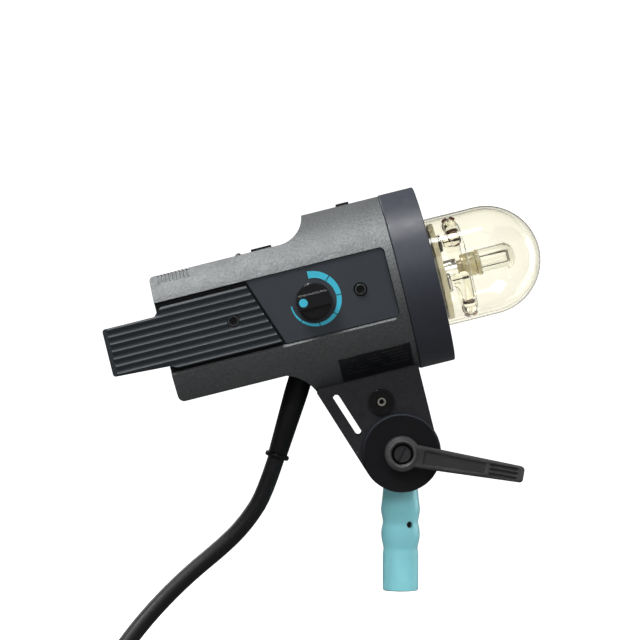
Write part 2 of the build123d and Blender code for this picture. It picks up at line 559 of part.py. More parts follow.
ca, sa = cos(radians(LEVER_ANGLE)), sin(radians(LEVER_ANGLE))
ARM = Plane(origin=(0, 0, 0), x_dir=(ca, 0, sa), z_dir=(0, -1, 0))
with BuildPart() as tilt_lever:
    with BuildSketch(ARM.offset(37.0)) as arm_face:
        Circle(12.7)
        with BuildLine():
            Polyline((0, 8.5), (20, 7.95), (88.8, 5.75), (88.8, -5.75), (20, -7.95), (0, -8.5), close=True)
        make_face()
        fillet(arm_face.vertices().group_by(Axis(ARM.origin, ARM.x_dir))[-1], 2.6)
    extrude(arm_face.sketch, amount=10.0)
    chamfer(tilt_lever.faces().sort_by(Axis.Y)[0].edges(), 1.1)
    rod("y", -30.5, -40.0, 12.7)
    with BuildSketch(ARM.offset(47.0)) as panel:
        with BuildLine():
            Polyline((15.6, 5.0), (60.5, 3.9), (60.5, -3.9), (15.6, -5.0), close=True)
        make_face()
    extrude(panel.sketch, amount=-0.7, mode=Mode.SUBTRACT)
    for v in (-3.3, 0.0, 3.3):
        with BuildSketch(ARM.offset(47.0)) as groove:
            with Locations((73.8, v)):
                SlotOverall(20.5, 1.7)
        extrude(groove.sketch, amount=-1.1, mode=Mode.SUBTRACT)
    rod("y", -30.0, -37.5, 7.06, mode=Mode.SUBTRACT)
    rod("y", -30.0, -48.0, 4.25, mode=Mode.SUBTRACT)
    rod("y", -39.5, -48.0, 7.4, mode=Mode.SUBTRACT)
save(tilt_lever, "tilt_lever", HEAD)

# ---- cable boot ----
BOOT = Plane(origin=BOOT_START, z_dir=BOOT_DIR)
with BuildPart() as cable_boot:
    with Locations(BOOT):
        Cylinder(8.75, 24.0, align=(Align.CENTER, Align.CENTER, Align.MIN))
    with Locations(BOOT.offset(23.9)):
        Cone(8.75, 7.1, BOOT_LENGTH - 3.7 - 23.9 + 0.1, align=(Align.CENTER, Align.CENTER, Align.MIN))
    with Locations(BOOT.offset(BOOT_LENGTH - 3.7)):
        Cylinder(9.0, 3.7, align=(Align.CENTER, Align.CENTER, Align.MIN))
    fillet(cable_boot.edges().filter_by(GeomType.CIRCLE).filter_by(lambda e: abs(e.radius - 9.0) < 0.01), 1.5)
    with Locations(BOOT.offset(-1)):
        Cylinder(CORD_R, BOOT_LENGTH + 2, align=(Align.CENTER, Align.CENTER, Align.MIN), mode=Mode.SUBTRACT)
save(cable_boot, "cable_boot", HEAD)

# ---- lead: the drop on the head, the run, coil and tail on the stand side ----
def tube(points, radius, name):
    """Round tube along straight runs joined by tangent arcs."""
    v = [Vector(*p) for p in points]
    radii = []
    for p, q, r in zip(v, v[1:], v[2:]):
        one, two = q - p, r - q
        turn = radians(one.get_angle(two))
        radii.append(0.45 * min(one.length, two.length) / tan(turn / 2))
    print(name, "arc radii", [round(x, 1) for x in radii])
    with BuildPart() as cord:
        with BuildLine() as path:
            FilletPolyline(*points, radius=radii)
        with BuildSketch(Plane(origin=points[0], z_dir=(v[1] - v[0]).normalized())) as section:
            Circle(radius)
        sweep(section.sketch, path=path.line)
    print(name, "volume over section x length", round(cord.part.volume / (pi * radius**2 * path.wires()[0].length), 4))
    save(cord, name)


LEAD_WAY = (
    (-87.6, 0.0, 111.0), (-99.0, 0.0, 73.7), (-112.0, -0.2, 52.5), (-128.0, -0.8, 35.0),
    (-160.0, -4.0, 9.0), (-191.0, -15.0, -23.0), (-216.0, -33.0, -58.0), (-236.0, -50.0, -90.0),
    (-262.0, -67.0, -112.0), (-297.0, -COIL_R - COIL_STEP / 2, FLOOR_Z + CORD_R + COIL_STEP + 11.3),
)
SPLIT = tuple((p + q) / 2 for p, q in zip(LEAD_WAY[5], LEAD_WAY[6]))
step = Vector(*LEAD_WAY[6]) - Vector(*LEAD_WAY[5])
gap = step.normalized()
tube(LEAD_WAY[:6] + (SPLIT,), CORD_R, "lead_drop")
tube((tuple(Vector(*SPLIT) + gap * 2.0),) + LEAD_WAY[6:], CORD_R, "lead_run")

# the coil's outer shape: three turns below, three above them, one on top
row_top = FLOOR_Z + 2 * CORD_R + COIL_STEP
with BuildPart() as lead_coil:
    with BuildSketch(Plane.XZ.move(Location((COIL_X, COIL_Y, 0)))) as coil_section:
        with BuildLine():
            low_r, high_r = COIL_R - COIL_STEP - CORD_R, COIL_R + COIL_STEP + CORD_R
            Polyline(
                (low_r, FLOOR_Z), (high_r, FLOOR_Z), (high_r, row_top), (COIL_R + COIL_STEP, row_top + 11.3),
                (COIL_R, row_top + 11.3), (low_r, row_top), close=True,
            )
        make_face()
    revolve(coil_section.sketch, axis=Axis((COIL_X, COIL_Y, 0), (0, 0, 1)), revolution_arc=360)
save(lead_coil, "lead_coil")

def coil_point(turned, radius, z):
    a = radians(-90.0 - turned)
    return (COIL_X + radius * cos(a), COIL_Y + radius * sin(a), z)


# the tail leaves the outer turn, goes on round beside it and ends in the plug on the floor
low = FLOOR_Z + CORD_R
PLUG_AT = (-246.0, 111.0, FLOOR_Z + 18.5)
tail = [coil_point(t, r, low) for t, r in ((0, 83.0), (25, 86.0), (50, 93.0), (78, 98.6), (108, 98.6), (138, 100.0), (164, 105.5))]
tube(tuple(tail) + ((-277.0, 110.0, -141.0), PLUG_AT), CORD_R, "lead_tail")

PLUG = Plane(origin=PLUG_AT, x_dir=(0, 1, 0), z_dir=(1, 0, 0))
with BuildPart() as mains_plug:
    with Locations(PLUG):
        Cone(8.5, 10.5, 22.0, align=(Align.CENTER, Align.CENTER, Align.MIN))
    with Locations(PLUG.offset(21.9)):
        Cone(13.0, 18.5, 14.1, align=(Align.CENTER, Align.CENTER, Align.MIN))
    with Locations(PLUG.offset(35.9)):
        Cylinder(18.5, 18.0, align=(Align.CENTER, Align.CENTER, Align.MIN))
save(mains_plug, "mains_plug")

with BuildPart() as plug_pins:
    for side in (1, -1):
        with Locations(Plane(origin=(PLUG_AT[0] + 53.95, PLUG_AT[1] + side * 9.5, PLUG_AT[2]), z_dir=(1, 0, 0))):
            Cylinder(2.4, 19.0, align=(Align.CENTER, Align.CENTER, Align.MIN))
save(plug_pins, "plug_pins")

# ---- stand socket and its clamp (row frame) ----
with BuildPart() as stand_socket:
    with BuildSketch(Plane.XZ) as socket_section:
        with BuildLine():
            Polyline((0, 0), (12.6, 0), (13.2, 0.8), (13.2, 26.0))
            Spline((13.2, 26.0), (12.7, 30.5), (13.6, 36.0), (14.3, 42.6), (13.9, 46.2), (13.2, 49.4), tangents=((0, 1), (-0.15, 1)))
            Spline((13.2, 49.4), (13.2, 51.8), (13.9, 55.7), (14.4, 58.8), (13.9, 65.0), (13.0, 73.5), (12.4, 79.0), (12.2, 86.0), tangents=((-0.15, 1), (0, 1)))
            Polyline((12.2, 86.0), (12.0, 96.0), (0, 96.0), (0, 0))
        make_face()
    revolve(socket_section.sketch, axis=Axis.Z, revolution_arc=360)
    block(-13, 13, -14.5, -12.0, 79, 140, mode=Mode.SUBTRACT)
    block(-13, 13, 12.0, 14.5, 79, 140, mode=Mode.SUBTRACT)
    rod("y", -12.0, 12.0, 24.0, 0, PIVOT_Z)
    rod("y", 9.0, 17.0, 8.0, 0, 18.0)
    rod("y", -20, 20, 4.06, 0, PIVOT_Z, mode=Mode.SUBTRACT)
    rod("z", -1, BORE_DEPTH, BORE_R, mode=Mode.SUBTRACT)
    rod("y", 5, 20, 4.1, 0, 18.0, mode=Mode.SUBTRACT)
    with Locations(Plane(origin=(0, 0, 49.0), z_dir=(sin(radians(29.5)), -cos(radians(29.5)), 0)).offset(7.0)):
        Cylinder(2.5, 10, align=(Align.CENTER, Align.CENTER, Align.MIN), mode=Mode.SUBTRACT)
save(stand_socket, "stand_socket")

with BuildPart() as socket_set_screw:
    aim = Plane(origin=(0, 0, 49.0), z_dir=(sin(radians(29.5)), -cos(radians(29.5)), 0))
    with Locations(aim.offset(8.3)):
        Cylinder(2.45, 3.2, align=(Align.CENTER, Align.CENTER, Align.MIN))
    with BuildSketch(aim.offset(9.4)) as hexhole:
        RegularPolygon(1.4, 6)
    extrude(hexhole.sketch, amount=2.5, mode=Mode.SUBTRACT)
save(socket_set_screw, "socket_set_screw")

with BuildPart() as clamp_pad:
    rod("y", 8.3, 10.8, 3.5, 0, 18.0)
save(clamp_pad, "clamp_pad")

with BuildPart() as clamp_screw:
    rod("y", 10.9, 34.0, 4.0, 0, 18.0)
save(clamp_screw, "clamp_screw")

with BuildPart() as clamp_knob:
    rod("y", 20.4, 34.5, 12.5, 0, 18.0)
    for k in range(6):
        a = radians(60 * k)
        rod("y", 20.0, 35.0, 3.2, 14.0 * cos(a), 18.0 + 14.0 * sin(a), mode=Mode.SUBTRACT)
    rod("y", 20.0, 34.1, 4.0, 0, 18.0, mode=Mode.SUBTRACT)
save(clamp_knob, "clamp_knob")
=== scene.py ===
import bmesh
import bpy
import json
from math import acos, cos, pi, radians, sin, sqrt
from mathutils import Matrix, Vector


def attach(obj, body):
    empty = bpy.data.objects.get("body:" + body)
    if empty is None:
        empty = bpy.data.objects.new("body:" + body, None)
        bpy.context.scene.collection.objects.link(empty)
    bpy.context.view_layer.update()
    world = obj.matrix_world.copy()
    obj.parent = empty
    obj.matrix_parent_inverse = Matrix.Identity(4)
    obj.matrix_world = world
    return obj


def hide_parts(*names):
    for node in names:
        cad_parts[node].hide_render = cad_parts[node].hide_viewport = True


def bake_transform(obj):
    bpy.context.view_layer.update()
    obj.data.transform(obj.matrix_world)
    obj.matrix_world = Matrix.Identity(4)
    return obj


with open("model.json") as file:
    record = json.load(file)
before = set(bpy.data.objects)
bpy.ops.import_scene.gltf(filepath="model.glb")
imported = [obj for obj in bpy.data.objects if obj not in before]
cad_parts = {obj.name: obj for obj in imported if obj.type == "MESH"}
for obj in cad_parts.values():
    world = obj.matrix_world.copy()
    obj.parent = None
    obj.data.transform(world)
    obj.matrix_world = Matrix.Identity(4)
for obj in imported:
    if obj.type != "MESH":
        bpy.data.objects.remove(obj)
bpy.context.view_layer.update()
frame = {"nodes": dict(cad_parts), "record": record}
nodes = frame["nodes"]

# ---------------------------------------------------------------- dimensions (m)
PIVOT = Vector((0, 0, 0.1027))
TILT = radians(14.0)
HEAD = Matrix.Translation(PIVOT) @ Matrix.Rotation(-TILT, 4, "Y")
A = 0.1215                      # lamp axis above the tilt axis
FLOOR = -0.150
CORD_D = 0.0128


def lin(r, g, b):
    """sRGB 0-255 to linear."""
    def one(c):
        c /= 255.0
        return c / 12.92 if c <= 0.04045 else ((c + 0.055) / 1.055) ** 2.4
    return (one(r), one(g), one(b), 1.0)


# ---------------------------------------------------------------- materials
def new_mat(name):
    m = bpy.data.materials.new(name)
    m.use_nodes = True
    nt = m.node_tree
    return m, nt, nt.nodes["Principled BSDF"]


def noise(nt, scale, detail=3.0, rough=0.55, coord=None):
    n = nt.nodes.new("ShaderNodeTexNoise")
    n.inputs["Scale"].default_value = scale
    n.inputs["Detail"].default_value = detail
    n.inputs["Roughness"].default_value = rough
    if coord is None:
        coord = nt.nodes.new("ShaderNodeTexCoord").outputs["Object"]
    nt.links.new(coord, n.inputs["Vector"])
    return n.outputs["Fac"]


def ramp(nt, fac, stops):
    r = nt.nodes.new("ShaderNodeValToRGB")
    e = r.color_ramp.elements
    while len(e) < len(stops):
        e.new(0.5)
    for el, (p, c) in zip(e, stops):
        el.position = p
        el.color = c if len(c) == 4 else (*c, 1.0)
    nt.links.new(fac, r.inputs["Fac"])
    return r.outputs["Color"]


def shade(c, k):
    return (min(1, c[0] * k), min(1, c[1] * k), min(1, c[2] * k), 1.0)


def math(nt, op, a, b=None, clamp=False):
    n = nt.nodes.new("ShaderNodeMath")
    n.operation = op
    n.use_clamp = clamp
    for i, v in enumerate((a, b)):
        if v is None:
            continue
        if isinstance(v, (int, float)):
            n.inputs[i].default_value = v
        else:
            nt.links.new(v, n.inputs[i])
    return n.outputs[0]


def mix_color(nt, fac, a, b):
    n = nt.nodes.new("ShaderNodeMix")
    n.data_type = "RGBA"
    nt.links.new(fac, n.inputs["Factor"])
    for key, v in (("A", a), ("B", b)):
        if isinstance(v, tuple):
            n.inputs[key].default_value = v if len(v) == 4 else (*v, 1.0)
        else:
            nt.links.new(v, n.inputs[key])
    return n.outputs["Result"]


def rounded(nt, radius):
    n = nt.nodes.new("ShaderNodeBevel")
    n.samples = 4
    n.inputs["Radius"].default_value = radius
    return n.outputs["Normal"]


def surface(name, color, rough, metallic=0.0, grain=0.0, grain_scale=2500.0, blotch=0.0, blotch_scale=420.0,
            var=0.12, var_scale=35.0, rough_var=0.08, spec=0.5, coat=0.0, coat_rough=0.2, dust=0.0, wear=0.0,
            wear_color=(0.3, 0.3, 0.31, 1), edge=0.0004, extra=None, relief=None):
    """Procedural finish: blotchy tone, mottled gloss, fine grain, light dust on top-facing faces, worn edges."""
    m, nt, p = new_mat(name)
    tc = nt.nodes.new("ShaderNodeTexCoord").outputs["Object"]
    f = noise(nt, var_scale, 5.0, 0.6, tc)
    col = ramp(nt, f, [(0.30, shade(color, 1 - var)), (0.70, shade(color, 1 + var))])
    if blotch:
        speck = noise(nt, blotch_scale, 3.0, 0.65, tc)
        col = mix_color(nt, ramp(nt, speck, [(0.35, (0, 0, 0)), (0.70, (blotch,) * 3)]), col, shade(color, 2.2))
    if dust:
        sep = nt.nodes.new("ShaderNodeSeparateXYZ")
        nt.links.new(nt.nodes.new("ShaderNodeNewGeometry").outputs["Normal"], sep.inputs[0])
        up = math(nt, "MULTIPLY", sep.outputs["Z"], noise(nt, 120.0, 6.0, 0.7, tc), clamp=True)
        col = mix_color(nt, math(nt, "MULTIPLY", up, dust), col, (0.42, 0.42, 0.41, 1))
    if wear:
        rr = ramp(nt, nt.nodes.new("ShaderNodeNewGeometry").outputs["Pointiness"], [(0.52, (0, 0, 0)), (0.60, (1, 1, 1))])
        w = math(nt, "MULTIPLY", rr, noise(nt, 220.0, 4.0, 0.7, tc), clamp=True)
        col = mix_color(nt, math(nt, "MULTIPLY", w, wear), col, wear_color)
    if extra:
        col = extra(nt, col)
    nt.links.new(col, p.inputs["Base Color"])
    r = ramp(nt, noise(nt, var_scale * 2.3, 4.0, 0.6, tc), [
        (0.3, (max(0.02, rough - rough_var),) * 3), (0.7, (min(1, rough + rough_var),) * 3)])
    nt.links.new(r, p.inputs["Roughness"])
    p.inputs["Metallic"].default_value = metallic
    p.inputs["Specular IOR Level"].default_value = spec
    p.inputs["Coat Weight"].default_value = coat
    p.inputs["Coat Roughness"].default_value = coat_rough
    normal = rounded(nt, edge) if edge else None
    if blotch:
        b = nt.nodes.new("ShaderNodeBump")
        b.inputs["Strength"].default_value = 0.7
        b.inputs["Distance"].default_value = 0.0006
        nt.links.new(speck, b.inputs["Height"])
        if normal:
            nt.links.new(normal, b.inputs["Normal"])
        normal = b.outputs["Normal"]
    if grain:
        b = nt.nodes.new("ShaderNodeBump")
        b.inputs["Strength"].default_value = grain
        b.inputs["Distance"].default_value = 0.0003
        nt.links.new(noise(nt, grain_scale, 2.0, 0.6, tc), b.inputs["Height"])
        if normal:
            nt.links.new(normal, b.inputs["Normal"])
        normal = b.outputs["Normal"]
    if relief:
        b = nt.nodes.new("ShaderNodeBump")
        b.inputs["Strength"].default_value = 1.0
        b.inputs["Distance"].default_value = 0.0016
        nt.links.new(relief(nt), b.inputs["Height"])
        if normal:
            nt.links.new(normal, b.inputs["Normal"])
        normal = b.outputs["Normal"]
    if normal:
        nt.links.new(normal, p.inputs["Normal"])
    return m


def brushed(name, color, rough, along=(1, 1, 40), strength=0.15, metallic=1.0):
    """Metal with fine lines across one axis."""
    m, nt, p = new_mat(name)
    tc = nt.nodes.new("ShaderNodeTexCoord").outputs["Object"]
    mp = nt.nodes.new("ShaderNodeMapping")
    mp.inputs["Scale"].default_value = along
    nt.links.new(tc, mp.inputs["Vector"])
    f = noise(nt, 160.0, 4.0, 0.7, mp.outputs[0])
    nt.links.new(ramp(nt, f, [(0.3, shade(color, 0.85)), (0.7, shade(color, 1.12))]), p.inputs["Base Color"])
    nt.links.new(ramp(nt, f, [(0.3, (max(0.03, rough - 0.08),) * 3), (0.7, (rough + 0.08,) * 3)]), p.inputs["Roughness"])
    p.inputs["Metallic"].default_value = metallic
    b = nt.nodes.new("ShaderNodeBump")
    b.inputs["Strength"].default_value = strength
    b.inputs["Distance"].default_value = 0.0002
    nt.links.new(f, b.inputs["Height"])
    nt.links.new(b.outputs["Normal"], p.inputs["Normal"])
    return m


def glass(name, color, ior=1.46, rough=0.0, smear=0.03, absorb=None, density=0.0, line=None, line_at=0.86, upper=False):
    m, nt, p = new_mat(name)
    tc = nt.nodes.new("ShaderNodeTexCoord").outputs["Object"]
    p.inputs["Transmission Weight"].default_value = 1.0
    p.inputs["IOR"].default_value = ior
    f = noise(nt, 30.0, 3.0, 0.5, tc)
    tone = ramp(nt, f, [(0.3, color), (0.7, shade(color, 0.985))])
    # painted dark edge: the base colour turns to line at grazing angles, a painted reflection standing in for the dark
    # refraction at the glass's rim; with upper it is stronger on upward-facing parts, a painted shade
    if line:
        weight = nt.nodes.new("ShaderNodeLayerWeight")
        weight.inputs["Blend"].default_value = 0.5
        fac = ramp(nt, weight.outputs["Facing"], [(line_at - 0.12, (0, 0, 0)), (line_at, (1, 1, 1))])
        if upper:
            sep = nt.nodes.new("ShaderNodeSeparateXYZ")
            nt.links.new(nt.nodes.new("ShaderNodeNewGeometry").outputs["Normal"], sep.inputs[0])
            lift = math(nt, "ADD", math(nt, "MULTIPLY", math(nt, "MAXIMUM", sep.outputs["Z"], 0.0), 1.0), 0.22, clamp=True)
            fac = math(nt, "MULTIPLY", fac, lift)
        tone = mix_color(nt, fac, tone, line)
    nt.links.new(tone, p.inputs["Base Color"])
    nt.links.new(ramp(nt, f, [(0.45, (rough,) * 3), (0.8, (rough + smear,) * 3)]), p.inputs["Roughness"])
    if absorb:
        v = nt.nodes.new("ShaderNodeVolumeAbsorption")
        v.inputs["Color"].default_value = absorb
        v.inputs["Density"].default_value = density
        nt.links.new(v.outputs[0], nt.nodes["Material Output"].inputs["Volume"])
    return m


def head_coords(nt):
    """Object coordinates turned into the head's own frame (x forward, z up, from the tilt axis)."""
    mp = nt.nodes.new("ShaderNodeMapping")
    mp.vector_type = "TEXTURE"
    mp.inputs["Location"].default_value = PIVOT
    mp.inputs["Rotation"].default_value = (0, -TILT, 0)
    nt.links.new(nt.nodes.new("ShaderNodeTexCoord").outputs["Object"], mp.inputs["Vector"])
    sep = nt.nodes.new("ShaderNodeSeparateXYZ")
    nt.links.new(mp.outputs[0], sep.inputs[0])
    return sep.outputs


def radial(nt, x0, z0):
    """Distance from a cross axis of the head, in units of 20 mm."""
    x, y, z = head_coords(nt)
    dx, dz = math(nt, "SUBTRACT", x, x0), math(nt, "SUBTRACT", z, z0)
    r = math(nt, "SQRT", math(nt, "ADD", math(nt, "MULTIPLY", dx, dx), math(nt, "MULTIPLY", dz, dz)))
    return math(nt, "MULTIPLY", r, 50.0)


def bright_core(nt, col):
    """A bright ring round the bolt's hexagon, dark inside and outside it."""
    fac = ramp(nt, radial(nt, -0.0051, 0.0395), [(0.080, (0, 0, 0)), (0.092, (1, 1, 1)), (0.145, (1, 1, 1)), (0.160, (0, 0, 0))])
    return mix_color(nt, fac, col, lin(214, 210, 198))


def screw_rim_highlight_socket_shade(nt, col):
    """Painted highlight on the rims and painted shade in the sockets of the four side screws."""
    for x0, z0 in ((-0.0946, 0.1227), (-0.0009, 0.1226)):
        r = radial(nt, x0, z0)
        # painted highlight: a light ring at the rim of each screw head
        col = mix_color(nt, ramp(nt, r, [(0.150, (0, 0, 0)), (0.172, (1, 1, 1)), (0.195, (1, 1, 1)), (0.215, (0, 0, 0))]), col, lin(96, 98, 100))
        # painted shade: a near-black disc in each screw's socket
        col = mix_color(nt, ramp(nt, r, [(0.085, (1, 1, 1)), (0.105, (0, 0, 0))]), col, lin(7, 7, 8))
    return col


def screw_gap_painted_shade(nt, col):
    """Painted shade round the clamp screw's face, where the gap round it lies in shadow."""
    return mix_color(nt, ramp(nt, radial(nt, 0.0, 0.0), [(0.285, (0, 0, 0)), (0.305, (1, 1, 1))]), col, lin(12, 12, 13))


def disc_edge_painted_highlight(nt, col):
    """Painted highlight along the upper edge of the discs, only on their upper half."""
    x, y, z = head_coords(nt)
    fac = ramp(nt, math(nt, "MULTIPLY", radial(nt, 0.0, 0.0), 0.5), [(0.680, (0, 0, 0)), (0.695, (1, 1, 1)), (0.708, (1, 1, 1)), (0.722, (0, 0, 0))])
    return mix_color(nt, math(nt, "MULTIPLY", fac, math(nt, "MULTIPLY", z, 38.0, clamp=True)), col, lin(74, 80, 92))


def boss_painted_shade_and_highlight(nt, col):
    """Painted shade in the well of the lever's boss, and a painted highlight on the crest round it."""
    r = radial(nt, 0.0, 0.0)
    col = mix_color(nt, ramp(nt, r, [(0.375, (1, 1, 1)), (0.405, (0, 0, 0))]), col, lin(16, 16, 17))
    return mix_color(nt, ramp(nt, r, [(0.40, (0, 0, 0)), (0.46, (0.5, 0.5, 0.5)), (0.53, (0, 0, 0))]), col, lin(120, 120, 120))


def boss_relief(nt):
    return ramp(nt, radial(nt, 0.0, 0.0), [(0.37, (0, 0, 0)), (0.46, (1, 1, 1)), (0.56, (0.55, 0.55, 0.55)), (0.66, (0.45, 0.45, 0.45))])


def recess_painted_shade(nt, col):
    """Painted shade on the floor of the side recess, darker than the flanks."""
    x, y, z = head_coords(nt)
    side = math(nt, "LESS_THAN", math(nt, "ABSOLUTE", y), 0.05735)
    low = math(nt, "MULTIPLY", math(nt, "GREATER_THAN", z, 0.0968), math(nt, "LESS_THAN", z, 0.1487))
    fac = math(nt, "MULTIPLY", math(nt, "MULTIPLY", side, low), math(nt, "GREATER_THAN", x, -0.1462))
    return mix_color(nt, fac, col, lin(17, 19, 22))


def plate_rules(nt, col):
    """Plain thin rules on the blank plate."""
    x, y, z = head_coords(nt)
    line = math(nt, "FRACT", math(nt, "MULTIPLY", z, 430.0))
    rows = math(nt, "LESS_THAN", line, 0.16)
    inside = math(nt, "MULTIPLY", math(nt, "GREATER_THAN", x, -0.0255), math(nt, "LESS_THAN", x, 0.0215))
    top = math(nt, "GREATER_THAN", z, 0.0645)
    broken = math(nt, "GREATER_THAN", noise(nt, 90.0, 1.0, 0.5), 0.44)
    fac = math(nt, "MULTIPLY", math(nt, "MULTIPLY", math(nt, "MULTIPLY", rows, inside), math(nt, "MULTIPLY", top, broken)), 0.4)
    return mix_color(nt, fac, col, lin(120, 118, 108))


MAT = {
    # housing_powder carries painted shade on the floor of the side recess
    "housing_powder": surface("housing_powder", lin(101, 104, 105), 0.44, metallic=0.35, grain=0.6, grain_scale=1300, blotch=0.40, blotch_scale=520,
                              var=0.07, rough_var=0.06, dust=0.10, wear=0.15, edge=0.0006, extra=recess_painted_shade),
    "cover_plastic": surface("cover_plastic", lin(44, 48, 53), 0.55, grain=0.4, grain_scale=1800, var=0.08),
    "collar_paint": surface("collar_paint", lin(65, 69, 79), 0.40, grain=0.05, grain_scale=1200, var=0.05, wear=0.15, edge=0.0006),
    "panel_plastic": surface("panel_plastic", lin(65, 70, 76), 0.48, grain=0.15, grain_scale=2200, var=0.06, edge=0.0005),
    "grip_rubber": surface("grip_rubber", lin(60, 66, 71), 0.46, grain=0.12, grain_scale=2200, var=0.07, edge=0.0003),
    "black_plastic": surface("black_plastic", lin(17, 17, 19), 0.26, grain=0.05, grain_scale=2200, var=0.10, coat=0.4, coat_rough=0.12, edge=0.0006),
    "cup_black": surface("cup_black", lin(9, 9, 9), 0.18, grain=0.04, grain_scale=2200, var=0.10, coat=0.8, coat_rough=0.08, edge=0.0009),
    "knob_black": surface("knob_black", lin(26, 26, 29), 0.22, grain=0.04, grain_scale=2200, var=0.10, coat=0.7, coat_rough=0.08, edge=0.0011),
    "black_steel": surface("black_steel", lin(30, 30, 31), 0.20, metallic=0.2, grain=0.03, var=0.15, coat=0.9, coat_rough=0.06, edge=0.0009),
    # side_screw carries painted highlight rims and painted socket shade
    "side_screw": surface("side_screw", lin(24, 24, 25), 0.22, metallic=0.3, grain=0.03, var=0.15, coat=0.9, coat_rough=0.06, edge=0.0009, extra=screw_rim_highlight_socket_shade),
    # screw_black carries painted shade in the gap round the screw's face
    "screw_black": surface("screw_black", lin(72, 72, 74), 0.34, metallic=0.4, grain=0.08, grain_scale=1500, var=0.18, edge=0.0004, extra=screw_gap_painted_shade),
    # disc_black carries a painted highlight along the discs' upper edge
    "disc_black": surface("disc_black", lin(21, 21, 25), 0.40, grain=0.05, grain_scale=1600, var=0.04, edge=0.0012, extra=disc_edge_painted_highlight),
    "bracket_paint": surface("bracket_paint", lin(38, 38, 45), 0.40, grain=0.08, grain_scale=1600, var=0.07, wear=0.15, edge=0.0006),
    # lever_paint carries painted shade in the boss's well and a painted highlight on its crest
    "lever_paint": surface("lever_paint", lin(62, 62, 63), 0.48, grain=0.22, grain_scale=2600, var=0.07, wear=0.4, edge=0.0012,
                           extra=boss_painted_shade_and_highlight, relief=boss_relief),
    "teal_ink": surface("teal_ink", lin(80, 216, 246), 0.45, grain=0.03, var=0.04, edge=0),
    "steel": brushed("steel", lin(190, 190, 192), 0.28),
    "bolt_steel": surface("bolt_steel", lin(18, 18, 18), 0.22, metallic=0.5, var=0.1, edge=0.0004, extra=bright_core),
    "chrome": brushed("chrome", lin(225, 225, 228), 0.08, strength=0.03),
    "brass": brushed("brass", lin(205, 175, 110), 0.25),
    "blue_anodised": surface("blue_anodised", lin(160, 243, 255), 0.36, metallic=0.08, grain=0.03, grain_scale=1500, var=0.025, rough_var=0.04, edge=0.0005),
    "raw_aluminium": brushed("raw_aluminium", lin(205, 206, 208), 0.32),
    "cream_ceramic": surface("cream_ceramic", lin(240, 232, 202), 0.55, grain=0.12, grain_scale=900, var=0.05),
    # all three glass finishes carry a painted dark edge in their line colour
    "clear_glass": glass("clear_glass", lin(255, 254, 248), 1.46, absorb=(0.66, 0.63, 0.42, 1), density=88.0, line=lin(88, 76, 62), line_at=0.86, upper=True),
    "tube_glass": glass("tube_glass", lin(255, 253, 246), 1.16, absorb=(0.60, 0.56, 0.38, 1), density=9.0, line=lin(150, 142, 104), line_at=0.96),
    "bulb_glass": glass("bulb_glass", lin(253, 253, 250), 1.40, absorb=(0.55, 0.53, 0.45, 1), density=120.0, line=lin(170, 165, 140), line_at=0.95),
    "socket_amber": surface("socket_amber", lin(170, 158, 108), 0.20, var=0.35, var_scale=190, grain=0.1, coat=0.8, coat_rough=0.06),
    "boot_rubber": surface("boot_rubber", lin(20, 20, 20), 0.42, grain=0.10, grain_scale=1800, var=0.06, edge=0.0006),
    "sleeve_red": surface("sleeve_red", lin(112, 34, 20), 0.4, var=0.2, edge=0),
    "board_green": surface("board_green", lin(30, 84, 54), 0.45, grain=0.2, grain_scale=900, var=0.2),
    "capacitor_sleeve": surface("capacitor_sleeve", lin(40, 56, 120), 0.35, var=0.08),
    "washer_plastic": surface("washer_plastic", lin(40, 40, 42), 0.6, grain=0.2, var=0.1),
    "plate_dark": surface("plate_dark", lin(26, 28, 33), 0.34, grain=0.02, var=0.04, edge=0.0003, extra=plate_rules),
    "lead_rubber": surface("lead_rubber", lin(33, 33, 35), 0.42, grain=0.10, grain_scale=900, var=0.10, dust=0.04, edge=0),
    "sensor_lens": surface("sensor_lens", lin(28, 12, 12), 0.12, var=0.1, coat=0.6, edge=0),
    "spring_steel": brushed("spring_steel", lin(170, 170, 172), 0.3),
    "filament_grey": surface("filament_grey", lin(62, 60, 56), 0.35, metallic=0.7, var=0.1, edge=0),
}
LOOK = {"lever_screw": "screw_black", "bracket_bolt": "bolt_steel", "socket_set_screw": "black_steel", "rear_cover": "housing_powder",
        "lamp_socket": "socket_amber", "clamp_screw": "steel", "handle_screws": "side_screw", "panel_screws": "side_screw",
        "power_knob": "knob_black", "bracket_bolt_cups": "cup_black", "tilt_disc": "disc_black", "tilt_disc_far": "disc_black", "photocell": "black_plastic",
        "cable_boot": "boot_rubber"}
slot_of = {s["node"]: s["material_slot"] for s in frame["record"]["subparts"]}
for n, o in nodes.items():
    o.data.materials.clear()
    o.data.materials.append(MAT[LOOK.get(n, slot_of[n])])
    for poly in o.data.polygons:
        poly.material_index = 0
        poly.use_smooth = True
    o.data.set_sharp_from_angle(angle=radians(28))


# ---------------------------------------------------------------- mesh tools
def mesh_object(name, verts, faces, body, mat, matrix=None, smooth=True, flat_angle=None):
    me = bpy.data.meshes.new(name)
    me.from_pydata([tuple(v) for v in verts], [], faces)
    me.validate()
    if matrix is not None:
        me.transform(matrix)
    bm = bmesh.new()
    bm.from_mesh(me)
    bmesh.ops.recalc_face_normals(bm, faces=bm.faces)
    bm.to_mesh(me)
    bm.free()
    for p in me.polygons:
        p.use_smooth = smooth
    if flat_angle is not None:
        me.set_sharp_from_angle(angle=radians(flat_angle))
    me.materials.append(MAT[mat] if isinstance(mat, str) else mat)
    o = bpy.data.objects.new(name, me)
    bpy.context.scene.collection.objects.link(o)
    if body:
        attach(o, body)
    return o


